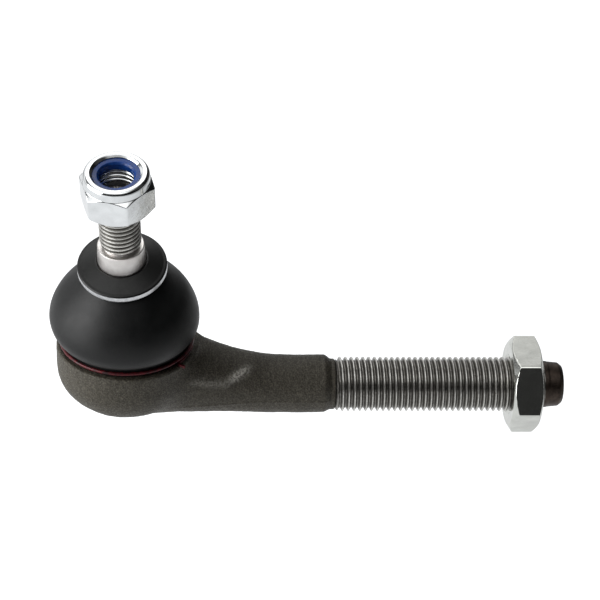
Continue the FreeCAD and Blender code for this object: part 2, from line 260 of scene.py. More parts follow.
def crest_share(points, major_r, pitch):
    """How near each point of a thread drawn up Z is to its crest."""
    depth = THREAD_DEPTH * pitch
    return np.clip((np.hypot(points[:, 0], points[:, 1]) - major_r + depth) / depth, 0, 1)


def thread_depth(phase):
    """How deep the thread is at a share of its pitch: 0 at the crest, 1 at the root, eased at the corners."""
    away = np.abs((phase + 0.5) % 1.0 - 0.5)
    flank_start, flank_end = CREST_SHARE / 2, 0.5 - ROOT_SHARE / 2
    t = np.clip((away - flank_start) / (flank_end - flank_start), 0, 1)
    return 0.72 * t + 0.28 * smooth_step(t)


def helix_grid(low, high, pitch, spare, segments, per_pitch):
    """A skin whose rows climb one pitch a turn, reaching past low and high by spare pitches and one more.

    Returns each row's place in its pitch, each column's angle, and each point's height.
    """
    first = -(spare + 1) * per_pitch
    last = int(math.ceil((high - low + spare * pitch) / pitch * per_pitch)) + per_pitch
    phase = np.arange(first, last + 1) / per_pitch
    turns = np.arange(segments) / segments
    return phase, turns * TAU, low + pitch * (phase[:, None] + turns[None, :])


def helix_faces(rows, segments, per_pitch):
    """Quads of a skin whose rows climb one pitch a turn."""
    faces = []
    for i in range(rows - 1):
        a, b = i * segments, (i + 1) * segments
        faces += [(a + j, a + j + 1, b + j + 1, b + j) for j in range(segments - 1)]
        if i + 1 + per_pitch < rows:
            climb = per_pitch * segments
            faces.append((a + segments - 1, a + climb, b + climb, b + segments - 1))
    return faces


def screw(major_r, pitch, low, high, envelope, segments, per_pitch=16):
    """A closed threaded bar from low to high. envelope(z) limits its radius, for chamfered ends."""
    phase, turns, height = helix_grid(low, high, pitch, 1, segments, per_pitch)
    inside = np.clip(height, low, high)
    radius = major_r - THREAD_DEPTH * pitch * thread_depth(phase)[:, None]
    radius = np.minimum(radius, envelope(inside))
    # The rows beyond an end lie flat on it and shrink to its centre
    radius = np.maximum(radius - np.abs(height - inside) * major_r / pitch * 1.6, 0.0)
    return ring_points(radius, turns, inside), helix_faces(len(phase), segments, per_pitch)


def hexagon_radius(turns, across_flats):
    """Distance from the axis to a hexagon's side at each angle."""
    within = (turns + math.pi / 6) % (math.pi / 3) - math.pi / 6
    return across_flats / 2 / np.cos(within)


def hexagon_turns(per_face=30):
    """Angles round a hexagon, closer together near its corners."""
    t = np.linspace(0, 1, per_face, endpoint=False)
    eased = t - 0.85 * np.sin(TAU * t) / TAU
    return np.concatenate([(i + eased) * math.pi / 3 + math.pi / 6 for i in range(6)])


def hex_nut(outline, across_flats):
    """A nut from a closed outline whose outer part is cut by a hexagon. Returns points and faces."""
    blunt = 0.12
    outline = densify(outline, 0.16)
    turns = hexagon_turns()
    limit = np.minimum(hexagon_radius(turns, across_flats), across_flats / math.sqrt(3) - blunt)
    points = []
    for r, z in outline:
        radius = soft_min(r, limit, blunt) if r > across_flats * 0.46 else r
        points.append(ring_points(radius, turns, z))
    return np.concatenate(points), ring_faces(len(outline), len(turns), closed=True)


# ---------------------------------------------------------------- materials


def math_node(tree, operation, *inputs):
    """A math node on linked or fixed inputs. Returns its output."""
    node = tree.nodes.new("ShaderNodeMath")
    node.operation = operation
    for socket, value in zip(node.inputs, inputs):
        if hasattr(value, "is_linked"):
            tree.links.new(value, socket)
        else:
            socket.default_value = value
    return node.outputs[0]


class Surface:
    """Builds one procedural material. Noise runs in object space, in millimetres."""

    def __init__(self, name):
        self.material = bpy.data.materials.new(name)
        self.material.use_nodes = True
        self.tree = self.material.node_tree
        self.nodes, self.links = self.tree.nodes, self.tree.links
        self.shader = self.nodes["Principled BSDF"]
        where = self.nodes.new("ShaderNodeTexCoord")
        scale = self.nodes.new("ShaderNodeVectorMath")
        scale.operation = "SCALE"
        scale.inputs["Scale"].default_value = 1 / MM
        self.links.new(where.outputs["Object"], scale.inputs[0])
        self.point = scale.outputs["Vector"]

    def set(self, **values):
        for key, value in values.items():
            self.shader.inputs[key.replace("_", " ")].default_value = value

    def feed(self, socket, value):
        self.links.new(value, self.shader.inputs[socket])

    def noise(self, per_mm, detail=4.0, roughness=0.55, stretch=(1, 1, 1)):
        """A noise value about 0.5. per_mm sets how fine it is."""
        point = self.point
        if stretch != (1, 1, 1):
            mapping = self.nodes.new("ShaderNodeMapping")
            mapping.inputs["Scale"].default_value = stretch
            self.links.new(point, mapping.inputs["Vector"])
            point = mapping.outputs["Vector"]
        node = self.nodes.new("ShaderNodeTexNoise")
        node.inputs["Scale"].default_value = per_mm
        node.inputs["Detail"].default_value = detail
        node.inputs["Roughness"].default_value = roughness
        self.links.new(point, node.inputs["Vector"])
        return node.outputs["Fac"]

    def ramp(self, value, low, high, start=0.0, end=1.0):
        """Maps a value from low..high to start..end."""
        node = self.nodes.new("ShaderNodeMapRange")
        for key, number in (("From Min", low), ("From Max", high), ("To Min", start), ("To Max", end)):
            node.inputs[key].default_value = number
        self.links.new(value, node.inputs["Value"])
        return node.outputs["Result"]

    def mix(self, factor, first, second):
        """Mixes two colours by a factor output. Each is a colour output or a plain colour."""
        node = self.nodes.new("ShaderNodeMix")
        node.data_type = "RGBA"
        self.links.new(factor, node.inputs["Factor"])
        for socket, value in ((node.inputs["A"], first), (node.inputs["B"], second)):
            if hasattr(value, "is_linked"):
                self.links.new(value, socket)
            else:
                socket.default_value = (*value, 1.0)
        return node.outputs["Result"]

    def crest(self):
        """The mesh's stored light mask: 0 in a thread's root (painted shade) or on plain skin, 1 on a
        thread's crest or on the ridge's painted highlight.
        """
        node = self.nodes.new("ShaderNodeAttribute")
        node.attribute_name = "crest"
        return node.outputs["Fac"]

    def bump(self, *layers):
        """Bump from (height output, depth in millimetres) layers."""
        normal = None
        for value, depth in layers:
            node = self.nodes.new("ShaderNodeBump")
            node.inputs["Strength"].default_value = 1.0
            node.inputs["Distance"].default_value = depth * MM
            self.links.new(value, node.inputs["Height"])
            if normal is not None:
                self.links.new(normal, node.inputs["Normal"])
            normal = node.outputs["Normal"]
        self.feed("Normal", normal)


def forged_steel():
    """Shot-blasted forging with a dark phosphate coat: grainy, olive-brown, with a painted highlight along
    the ridge.
    """
    s = Surface("forged_steel")
    grain = s.noise(2.6, 3.0, 0.6)
    patch = s.noise(0.16, 3.0, 0.5)
    tone = s.mix(s.ramp(patch, 0.35, 0.65), (0.039, 0.034, 0.024), (0.054, 0.048, 0.035))
    tone = s.mix(s.ramp(grain, 0.44, 0.68), tone, (0.132, 0.119, 0.090))
    # painted highlight: pale colour where the light mask marks the ridge
    glint = math_node(s.tree, "MULTIPLY", s.crest(), s.ramp(s.noise(1.7, 2.0, 0.5), 0.40, 0.58, 0.25, 1.0))
    s.feed("Base Color", s.mix(glint, tone, (0.80, 0.77, 0.70)))
    s.feed("Roughness", s.ramp(grain, 0.3, 0.7, 0.62, 0.42))
    s.set(Metallic=0.12, Specular_IOR_Level=0.40)
    s.bump((s.noise(0.9, 2.0), 0.18), (grain, 0.22))
    return s.material


def thread_steel():
    """Rolled thread: the steel's own bright colour on the crests, and painted shade darkening the flanks and
    roots.
    """
    s = Surface("thread_steel")
    streak = s.noise(0.8, 4.0, 0.6, (0.5, 3.0, 3.0))
    fine = s.noise(5.0, 2.0, 0.5)
    # painted shade: flanks and roots darker than the crests, where the thread shades itself
    flank_shade = s.mix(s.ramp(streak, 0.35, 0.7), (0.14, 0.135, 0.125), (0.27, 0.26, 0.24))
    crest = s.mix(s.ramp(streak, 0.3, 0.7), (0.52, 0.51, 0.48), (0.74, 0.73, 0.70))
    s.feed("Base Color", s.mix(s.ramp(s.crest(), 0.55, 0.9), flank_shade, crest))
    s.feed("Roughness", s.ramp(fine, 0.3, 0.7, 0.26, 0.38))
    s.set(Metallic=0.9)
    s.bump((fine, 0.008))
    return s.material


def pilot_steel():
    """The rod's plain end, dark brown-black from the phosphate bath, with faint turning marks."""
    s = Surface("pilot_steel")
    rings = s.noise(1.6, 3.0, 0.6, (6.0, 0.4, 0.4))
    patch = s.noise(0.5, 4.0, 0.6)
    s.feed("Base Color", s.mix(s.ramp(patch, 0.35, 0.68), (0.030, 0.021, 0.016), (0.085, 0.062, 0.048)))
    s.feed("Roughness", s.ramp(rings, 0.3, 0.7, 0.30, 0.46))
    s.set(Metallic=0.7)
    s.bump((rings, 0.03), (patch, 0.03))
    return s.material


def ground_steel():
    """The taper and ball: bright, finely ground round the axis."""
    s = Surface("ground_steel")
    rings = s.noise(1.2, 3.0, 0.5, (0.6, 0.6, 9.0))
    cloud = s.noise(0.35, 3.0, 0.5)
    s.feed("Base Color", s.mix(s.ramp(cloud, 0.35, 0.7), (0.66, 0.63, 0.61), (0.80, 0.78, 0.76)))
    s.feed("Roughness", s.ramp(rings, 0.3, 0.7, 0.30, 0.42))
    s.set(Metallic=1.0)
    s.bump((rings, 0.010))
    return s.material


def zinc_plate(name, tint, smoothest, roughest):
    """Bright zinc plate with faint clouding and small dents."""
    s = Surface(name)
    cloud = s.noise(0.28, 4.0, 0.55)
    fine = s.noise(2.2, 3.0, 0.6)
    darker = tuple(0.86 * c for c in tint)
    s.feed("Base Color", s.mix(s.ramp(cloud, 0.35, 0.68), darker, tint))
    s.feed("Roughness", s.ramp(fine, 0.3, 0.7, smoothest, roughest))
    s.set(Metallic=1.0)
    s.bump((cloud, 0.03), (fine, 0.003))
    return s.material


def black_rubber():
    """Satin black rubber with a fine moulded texture and a little dust."""
    s = Surface("black_rubber")
    fine = s.noise(3.4, 3.0, 0.6)
    cloud = s.noise(0.22, 3.0, 0.5)
    tone = s.mix(s.ramp(cloud, 0.35, 0.7), (0.0032, 0.0036, 0.0038), (0.0065, 0.0070, 0.0070))
    s.feed("Base Color", tone)
    s.feed("Roughness", s.ramp(cloud, 0.3, 0.7, 0.42, 0.52))
    s.set(Specular_IOR_Level=0.33)
    s.bump((fine, 0.022), (cloud, 0.08))
    return s.material


def washer_black():
    """Black coated steel, satin."""
    s = Surface("washer_black")
    fine = s.noise(2.5, 3.0, 0.6)
    cloud = s.noise(0.4, 3.0, 0.5)
    s.feed("Base Color", s.mix(s.ramp(cloud, 0.35, 0.7), (0.003, 0.0033, 0.003), (0.007, 0.0075, 0.0068)))
    s.feed("Roughness", s.ramp(fine, 0.3, 0.7, 0.34, 0.48))
    s.set(Specular_IOR_Level=0.40)
    s.bump((fine, 0.02))
    return s.material


def worn_edge():
    """The washer's bare rim."""
    s = Surface("worn_edge")
    wear = s.noise(1.4, 4.0, 0.6)
    s.feed("Base Color", s.mix(s.ramp(wear, 0.35, 0.7), (0.50, 0.51, 0.53), (0.78, 0.79, 0.80)))
    s.feed("Roughness", s.ramp(wear, 0.3, 0.7, 0.28, 0.42))
    s.set(Metallic=1.0)
    s.bump((wear, 0.02))
    return s.material


def red_wire():
    """Dark red lacquered spring wire."""
    s = Surface("red_wire")
    cloud = s.noise(0.9, 3.0, 0.6)
    s.feed("Base Color", s.mix(s.ramp(cloud, 0.35, 0.7), (0.022, 0.0015, 0.0035), (0.15, 0.007, 0.012)))
    s.feed("Roughness", s.ramp(cloud, 0.3, 0.7, 0.30, 0.46))
    s.set(Metallic=0.3)
    s.bump((cloud, 0.02))
    return s.material


def blue_nylon():
    """Deep blue nylon with faint moulding clouds."""
    s = Surface("blue_nylon")
    cloud = s.noise(0.9, 3.0, 0.55)
    s.feed("Base Color", s.mix(s.ramp(cloud, 0.35, 0.7), (0.006, 0.046, 0.230), (0.010, 0.078, 0.360)))
    s.feed("Roughness", s.ramp(cloud, 0.3, 0.7, 0.30, 0.42))
    s.set(Subsurface_Weight=0.06)
    s.bump((s.noise(3.0, 2.0), 0.02))
    return s.material


def seat_plastic():
    """Off-white bearing plastic with grease stains."""
    s = Surface("seat_plastic")
    stain = s.noise(0.35, 4.0, 0.6)
    s.feed("Base Color", s.mix(s.ramp(stain, 0.4, 0.7), (0.62, 0.60, 0.53), (0.36, 0.31, 0.22)))
    s.feed("Roughness", s.ramp(stain, 0.3, 0.7, 0.35, 0.55))
    s.bump((s.noise(2.0, 2.0), 0.02))
    return s.material


def oiled_steel():
    """Plain steel for the hidden ring, spring and garter, with an oil film."""
    s = Surface("oiled_steel")
    film = s.noise(0.6, 4.0, 0.6)
    s.feed("Base Color", s.mix(s.ramp(film, 0.35, 0.7), (0.22, 0.21, 0.20), (0.40, 0.39, 0.38)))
    s.feed("Roughness", s.ramp(film, 0.3, 0.7, 0.28, 0.44))
    s.set(Metallic=1.0)
    s.bump((s.noise(2.4, 2.0), 0.02))
    return s.material


FORGED = forged_steel()
THREAD = thread_steel()
PILOT = pilot_steel()
GROUND = ground_steel()
ZINC = zinc_plate("zinc_plate", (0.80, 0.82, 0.83), 0.07, 0.15)
JAM_ZINC = zinc_plate("jam_zinc_plate", (0.70, 0.71, 0.67), 0.10, 0.20)
RUBBER = black_rubber()
WASHER = washer_black()
EDGE = worn_edge()
WIRE = red_wire()
NYLON = blue_nylon()
SEAT = seat_plastic()
OILED = oiled_steel()


def finish_piece(obj, material, body, *nodes):
    """Gives a piece its material and body, and lets it stand in for CAD nodes."""
    obj.data.materials.append(material)
    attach(obj, body)
    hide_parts(*nodes)


# ---------------------------------------------------------------- the housing forging

CUP_R = 17.55
CUP_RIM_Z = 13.1
CUP_TOP_Z = CUP_RIM_Z + 0.25
CUP_CURVE_R = 10.0
CUP_CURVE_TOP_Z = 7.4
SOCKET_R = 11.5
SOCKET_FLOOR_Z = 1.0
SOCKET_CUT_TOP_Z = 18.0
COLLAR_R = 14.9
SHANK_R = 7.4
BAR_END = 52.6
THREAD_START = 53.2
PILOT_START = 106.4
ROD_END = 111.4
SHANK_ROOT_R = SHANK_THREAD_R - THREAD_DEPTH * SHANK_PITCH - 0.02
SHANK_NECK_R = 6.5
FORGING_VOXEL = 0.24
JUNCTION_WIDTH = 3.6
# How far the forged bar sits above the thread's axis
BAR_OFFSET = 0.22
# The neck's sections: place along X, half width, lowest and highest point
NECK_STATIONS = (
    (-4.0, 6.0, -2.2, 8.0),
    (2.0, 8.2, -4.9, 11.0),
    (8.0, 9.6, -5.7, 12.2),
    (14.0, 10.2, -5.8, 12.6),
    (19.0, 9.7, -6.1, 12.0),
    (23.0, 8.9, -6.4, 10.5),
    (27.5, 8.1, -6.8, 9.1),
    (32.0, 7.7, -7.1, 8.2),
    (36.0, 7.42, -7.4, 7.55),
    (39.0, 7.4, -7.4, 7.4),
    (50.0, 7.4, -7.4, 7.4),
)
NECK_FIRST, NECK_LAST = NECK_STATIONS[0][0], NECK_STATIONS[-1][0]
NECK_END = 39.0
# Where the neck's flat side ends against the round bar: a low ridge, with a painted highlight at its upper
# end
RIDGE = ((10.0, -9.0, 8.0), (12.0, -9.3, 7.8), (18.1, -9.1, 7.1), (22.0, -8.5, 6.1), (24.5, -7.8, 5.7),
         (26.9, -6.5, 6.5), (29.5, -4.8, 7.4), (31.9, -2.6, 8.0))  # fmt: skip
RIDGE_HEIGHT = 0.26


def catmull(table, at):
    """Smooth values from a table of rows (station, values...) at each station in at."""
    table = np.asarray(table, float)
    x, y = table[:, 0], table[:, 1:]
    slope = np.zeros_like(y)
    step = np.diff(x)[:, None]
    rise = np.diff(y, axis=0) / step
    slope[1:-1] = (rise[:-1] * step[1:] + rise[1:] * step[:-1]) / (step[1:] + step[:-1])
    slope[0], slope[-1] = rise[0], rise[-1]
    i = np.clip(np.searchsorted(x, at) - 1, 0, len(x) - 2)
    w = (x[i + 1] - x[i])[:, None]
    t = ((at - x[i])[:, None]) / w
    return (
        (2 * t**3 - 3 * t**2 + 1) * y[i]
        + (t**3 - 2 * t**2 + t) * w * slope[i]
        + (3 * t**2 - 2 * t**3) * y[i + 1]
        + (t**3 - t**2) * w * slope[i + 1]
    )


def neck_sections(at):
    """Half width, lowest and highest point of the neck at places along X, and how square it is."""
    at = np.clip(at, NECK_FIRST, NECK_LAST)
    width, low, high = catmull(NECK_STATIONS, at).T
    power = 2.0 + 0.4 * np.clip((NECK_END - at) / NECK_END, 0, 1)
    offset = BAR_OFFSET * np.clip((at - 8.0) / 12.0, 0, 1)
    return width, low + offset, high + offset, power


def neck_mesh():
    """The neck and round bar, and the bar's end tapering to the thread's undercut, as one closed skin."""
    sides = 120
    bar = np.linspace(NECK_FIRST, NECK_LAST + 0.1, 150)
    stations = np.concatenate([bar, [BAR_END - 1.0, BAR_END + 0.1]])
    undercut = stations > bar[-1]
    shrink = np.where(undercut, SHANK_NECK_R / SHANK_R, 1.0)
    drop = np.where(undercut, BAR_OFFSET, 0.0)
    turns = np.arange(sides) / sides * TAU
    c, s = np.cos(turns), np.sin(turns)
    points = []
    for x, width, low, high, power, share, down in zip(stations, *neck_sections(stations), shrink, drop):
        y = width * share * np.sign(c) * np.abs(c) ** (2 / power)
        z = (low + high) / 2 + (high - low) / 2 * share * np.sign(s) * np.abs(s) ** (2 / power) - down
        points.append(np.stack([np.full_like(y, x), y, z], 1))
    return np.concatenate(points), capped_faces(len(stations), sides)


def cup_outline():
    """The cup's outside as (radius, height), up to the top of its rim."""
    centre = CUP_R - CUP_CURVE_R
    curve = [
        (centre + CUP_CURVE_R * math.sin(a), CUP_CURVE_TOP_Z - CUP_CURVE_R * math.cos(a))
        for a in np.linspace(0, math.pi / 2, 24)
    ]
    return [(0.0, CUP_CURVE_TOP_Z - CUP_CURVE_R)] + curve + [
        (CUP_R, CUP_RIM_Z - 0.1), (CUP_R - 0.35, CUP_TOP_Z), (0.0, CUP_TOP_Z)]  # fmt: skip


def cup_distance(points):
    """Signed distance from the cup's outside, measured in its turned section."""
    q = np.stack([np.hypot(points[:, 0], points[:, 1]), points[:, 2]], 1)
    line = np.array(cup_outline())
    best = np.full(len(q), 1e9)
    for a, b in zip(line[:-1], line[1:]):
        along = b - a
        t = np.clip(((q - a) @ along) / max(along @ along, 1e-12), 0, 1)
        best = np.minimum(best, np.linalg.norm(q - a - t[:, None] * along, axis=1))
    edge = np.interp(q[:, 1], line[1:-1, 1], line[1:-1, 0])
    inside = (q[:, 0] < edge) & (q[:, 1] < CUP_TOP_Z) & (q[:, 1] > CUP_CURVE_TOP_Z - CUP_CURVE_R)
    return np.where(inside, -best, best)


def neck_distance(points):
    """Signed distance from the neck's skin, near enough for blending."""
    width, low, high, power = neck_sections(points[:, 0])
    u = np.abs(points[:, 1]) / width
    v = np.abs(points[:, 2] - (low + high) / 2) / ((high - low) / 2)
    level = (u**power + v**power) ** (1 / power)
    size = np.hypot(points[:, 1], points[:, 2] - (low + high) / 2) / np.maximum(level, 1e-6)
    return (level - 1) * size + np.clip(-points[:, 0], 0, None)


def forging_blend(points):
    """Moves points onto the blended skin of cup and neck, as the forging die rounds their junction."""
    points = points.copy()
    step = 0.02

    def skin(p):
        return soft_min(cup_distance(p), neck_distance(p), JUNCTION_WIDTH)

    # The cup's rim and the bar's far end keep their own shapes
    fade = smooth_step((CUP_RIM_Z - 0.4 - points[:, 2]) / 2.0) * smooth_step((46.0 - points[:, 0]) / 6.0)
    near = fade > 0
    for _ in range(4):
        p = points[near]
        here = skin(p)
        slope = np.stack([(skin(p + e) - here) / step for e in np.eye(3) * step], 1)
        size = np.maximum((slope**2).sum(1), 0.25)
        points[near] = p - slope * (here / size * fade[near])[:, None]
    return points


def value_noise(points, per_mm, seed):
    """Smooth three-dimensional noise, mostly between -1 and 1, from waves in random directions."""
    rng = np.random.default_rng(seed)
    total = np.zeros(len(points))
    for _ in range(10):
        direction = rng.normal(size=3)
        direction *= per_mm * rng.uniform(0.7, 1.3) / np.linalg.norm(direction)
        total += np.sin(points @ direction * TAU + rng.uniform(0, TAU))
    return total / 5.0


def from_ridge(points):
    """Distance from the ridge's line, and how far along the ridge the nearest place is."""
    line = np.array(RIDGE)
    lengths = np.linalg.norm(np.diff(line, axis=0), axis=1)
    start = np.concatenate([[0], np.cumsum(lengths)])
    best = np.full(len(points), 1e9)
    along = np.zeros(len(points))
    for a, b, length, begun in zip(line[:-1], line[1:], lengths, start):
        step = (b - a) / length
        t = np.clip((points - a) @ step, 0, length)
        gap = np.linalg.norm(points - a - t[:, None] * step, axis=1)
        nearer = gap < best
        best, along = np.where(nearer, gap, best), np.where(nearer, begun + t, along)
    return best, along / start[-1]


def joined_forms(*forms):
    """One skin round overlapping closed objects, on an even grid. The objects are used up."""
    work = bmesh.new()
    for form in forms:
        work.from_mesh(form.data)
        bpy.data.objects.remove(form)
    mesh = bpy.data.meshes.new("forging_form")
    work.to_mesh(mesh)
    work.free()
    obj = new_object("forging_form", mesh)
    remesh = obj.modifiers.new("join", "REMESH")
    remesh.mode = "VOXEL"
    remesh.voxel_size = FORGING_VOXEL * MM
    remesh.use_smooth_shade = True
    joined = with_modifiers(obj)
    bpy.data.objects.remove(obj)
    return joined


def make_forging():
    """The forged skin: cup, neck and bar blended, with a flash line, waviness and the low ridge."""
    cup = build("cup_form", *lathe(cup_outline(), closed=False))
    mesh = joined_forms(cup, build("neck_form", *neck_mesh()))
    points = forging_blend(read_vertices(mesh, "co") / MM)
    move_vertices(mesh, points)
    normals = read_vertices(mesh, "normal")
    # The rim and the bar's turned end are machined, so they stay plain
    forged = smooth_step((CUP_RIM_Z - 0.35 - points[:, 2]) / 0.8) * smooth_step((52.0 - points[:, 0]) / 1.0)
    swell = 0.07 * value_noise(points, 0.13, 3) + 0.035 * value_noise(points, 0.45, 5)
    grit = 0.016 * value_noise(points, 1.3, 7)
    flash = 0.13 * bell(points[:, 2] + 0.5, 0.28) * smooth_step((points[:, 0] - 9) / 8)
    gap, along = from_ridge(points)
    ridge = RIDGE_HEIGHT * bell(gap, 1.0) * smooth_step(along / 0.15) * smooth_step((1 - along) / 0.12)
    lift = (swell + grit + flash + ridge) * forged
    move_vertices(mesh, points + normals * lift[:, None])
    return new_object("housing_forging", mesh)


def cut_socket(forging):
    """Cuts the socket out of the forging, and marks where the ridge takes its painted highlight."""
    outline = rounded([
        (0.0, SOCKET_FLOOR_Z), (SOCKET_R, SOCKET_FLOOR_Z, 0.3), (SOCKET_R, SOCKET_CUT_TOP_Z),
        (0.0, SOCKET_CUT_TOP_Z)])  # fmt: skip
    cutter = build("socket_cutter", *lathe(outline, 128, closed=False))
    boolean = forging.modifiers.new("socket", "BOOLEAN")
    boolean.operation = "DIFFERENCE"
    boolean.solver = "EXACT"
    boolean.object = cutter
    cut = with_modifiers(forging)
    forging.modifiers.clear()
    bpy.data.objects.remove(cutter)
    uncut = forging.data
    forging.data = cut
    bpy.data.meshes.remove(uncut)
    shade_smooth(cut, 40)
    gap, along = from_ridge(read_vertices(cut, "co") / MM)
    # painted highlight along the ridge: strong at its upper end, faint along the rest
    bright = bell(gap, 1.05) * smooth_step((along - 0.59) / 0.18) * smooth_step((1.01 - along) / 0.24)
    faint = 0.28 * bell(gap, 1.1) * smooth_step(along / 0.1) * smooth_step((0.7 - along) / 0.1)
    set_light_mask(cut, bright + faint)


def make_collar():
    """The machined collar and rolled mouth above the rim."""
    outline = [
        (SOCKET_R, 12.4), (COLLAR_R, 12.4), (COLLAR_R, 18.4, 0.3), (14.1, 19.1, 0.3), (14.1, 21.2, 0.8),
        (13.3, 22.0, 0.8), (11.8, 22.0, 0.5), (11.8, 20.6), (12.5, 20.6), (12.5, 18.2),
        (SOCKET_R, 18.2)]  # fmt: skip
    return build("housing_collar", *lathe(rounded(outline)))


def shank_envelope(z):
    """Limit of the shank thread's radius along the bar, for its chamfered ends."""
    start = SHANK_ROOT_R - 0.06 + np.clip(z - (THREAD_START - 0.5), 0, None) * 1.05
    end = 6.05 + np.clip(PILOT_START - z, 0, None) * 1.15
    return np.minimum(np.minimum(start, end), SHANK_THREAD_R + 0.2)


def make_shank_thread():
    """The rolled thread between the bar's undercut and the plain end, sunk a little into both."""
    points, faces = screw(SHANK_THREAD_R, SHANK_PITCH, BAR_END - 0.6, PILOT_START + 0.1, shank_envelope, 132)
    crest = crest_share(points, SHANK_THREAD_R, SHANK_PITCH)
    return build("housing_thread", along_x(points), faces, THREAD_CREASE_DEG, crest)


def make_pilot():
    """The plain end, with a centre hole's dimple."""
    outline = [
        (0.0, 105.6), (6.02, 105.6), (6.02, 106.8), (5.95, 107.4, 0.3), (5.85, 107.7, 0.1), (5.6, 110.4, 0.6),
        (4.8, ROD_END, 0.5), (1.0, ROD_END), (0.0, ROD_END - 0.6)]  # fmt: skip
    points, faces = lathe(rounded(outline), 128, closed=False)
    return build("housing_pilot", along_x(points), faces)


forging = make_forging()
cut_socket(forging)
finish_piece(forging, FORGED, "housing", "housing")
finish_piece(make_collar(), FORGED, "housing", "housing")
finish_piece(make_shank_thread(), THREAD, "housing", "housing")
finish_piece(make_pilot(), PILOT, "housing", "housing")


# ---------------------------------------------------------------- the ball stud

STUD_ROOT_R = STUD_THREAD_R - THREAD_DEPTH * STUD_PITCH - 0.02
BALL_R = 9.93
STUD_NECK_R = 5.5
TAPER_FOOT = 19.5
TAPER_TOP = 33.5
TAPER_TOP_R = 5.63
TAPER_SLOPE = 0.05
TAPER_FOOT_R = TAPER_TOP_R + TAPER_SLOPE * (TAPER_TOP - TAPER_FOOT)
STUD_END = 50.4


def make_stud_shaft():
    """Ball, neck and taper in one turned skin. The ball's curve runs up to the neck."""
    ball_turns = np.linspace(0.0, math.pi - math.asin(STUD_NECK_R / BALL_R), 60)
    outline = [(BALL_R * math.sin(a), -BALL_R * math.cos(a)) for a in ball_turns] + [
        (STUD_NECK_R, 8.9), (STUD_NECK_R, TAPER_FOOT - 1.5, 0.6), (TAPER_FOOT_R, TAPER_FOOT, 0.5),
        (TAPER_TOP_R, TAPER_TOP - 0.12, 0.06), (TAPER_TOP_R - 0.2, TAPER_TOP, 0.05),
        (STUD_ROOT_R, TAPER_TOP + 0.02, 0.05), (STUD_ROOT_R, TAPER_TOP + 0.6),
        (0.0, TAPER_TOP + 0.6)]  # fmt: skip
    points, faces = lathe(rounded(outline), closed=False)
    return build("stud_shaft", leaned(points), faces)


def stud_envelope(z):
    """Limit of the stud thread's radius up the stud, for its run-out and chamfered end."""
    start = STUD_ROOT_R - 0.05 + np.clip(z - (TAPER_TOP + 0.5), 0, None) * 1.0
    end = STUD_ROOT_R - 0.15 + np.clip(STUD_END - z, 0, None) * 0.9
    return np.minimum(np.minimum(start, end), STUD_THREAD_R + 0.2)


def make_stud_thread():
    """The stud's thread, with a centre hole's cone in its end."""
    points, faces = screw(STUD_THREAD_R, STUD_PITCH, TAPER_TOP + 0.3, STUD_END, stud_envelope, 110)
    r = np.hypot(points[:, 0], points[:, 1])
    end = points[:, 2] > STUD_END - 1e-6
    points[:, 2] -= np.where(end, 2.0 * np.clip(1.5 - r, 0, None), 0)
    crest = crest_share(points, STUD_THREAD_R, STUD_PITCH)
    return build("stud_thread", leaned(points), faces, THREAD_CREASE_DEG, crest)


finish_piece(make_stud_shaft(), GROUND, "ball_stud", "ball_stud")
finish_piece(make_stud_thread(), THREAD, "ball_stud", "ball_stud")


# ---------------------------------------------------------------- the boot and its rings

# Heights above the ball's centre. The boot is drawn straight, then bent between them to follow the stud.
BOOT_BEND = (1.7, 20.0)
# How far the belly hangs to the left
BOOT_SHIFT = -0.35
LIP_R = 15.9
LIP_FOOT = -0.25
BOOT_BELLY = (
    (16.7, 4.6), (17.3, 5.1), (18.0, 6.3), (18.4, 8.2), (18.3, 10.6), (17.45, 13.3), (15.9, 16.1),
    (13.7, 18.8), (11.3, 21.4), (9.2, 23.4))  # fmt: skip
BOOT_INSIDE = (
    (7.4, 22.2), (9.7, 20.2), (12.0, 17.7), (14.1, 15.0), (15.9, 12.4), (16.9, 10.2), (17.1, 8.4),
    (16.7, 6.9), (15.7, 5.9))  # fmt: skip
WIRE_R = 0.45
GARTER_RING_R = 7.92
GARTER_HEIGHT = 24.6
GARTER_COIL_R = 0.34
WASHER_TILT = math.radians(4.0)
WASHER_PIVOT = np.array([0.0, 0.0, 27.6])


def spline(points, steps=8):
    """A smooth curve through a row of points."""
    p = np.asarray(points, float)
    p = np.concatenate([[2 * p[0] - p[1]], p, [2 * p[-1] - p[-2]]])
    out = []
    for a, b, c, d in zip(p, p[1:], p[2:], p[3:]):
        for k in range(steps):
            t = k / steps
            out.append(tuple(0.5 * (2 * b + (c - a) * t + (2 * a - 5 * b + 4 * c - d) * t**2
                                    + (3 * b - a - 3 * c + d) * t**3)))  # fmt: skip
    return out + [tuple(p[-2])]


def bend_share(height):
    """How much of the stud's lean the boot follows at a height above the ball's centre."""
    t = np.clip((height - BOOT_BEND[0]) / (BOOT_BEND[1] - BOOT_BEND[0]), 0, 1)
    return (1 - (1 - t) ** 3) * smooth_step((height - 0.9) / 1.8)


def boot_outline():
    """The boot's section, straight, as (radius, height above the ball's centre)."""
    lip = rounded([
        (14.92, 1.0), (14.92, LIP_FOOT, 0.1), (LIP_R, LIP_FOOT, 0.25), (LIP_R, 3.9, 0.5),
        (16.4, 4.25)])  # fmt: skip
    neck = rounded([
        (8.9, 23.6), (8.3, 24.0, 0.3), (7.4, 24.05, 0.2), (7.4, 25.2, 0.2), (8.3, 25.3, 0.2),
        (8.3, 26.2, 0.3), (6.2, 26.2, 0.2), (6.2, 23.0, 0.3), (7.0, 22.5)])  # fmt: skip
    return lip + spline(BOOT_BELLY) + neck + spline(BOOT_INSIDE) + [(14.95, 4.8)]


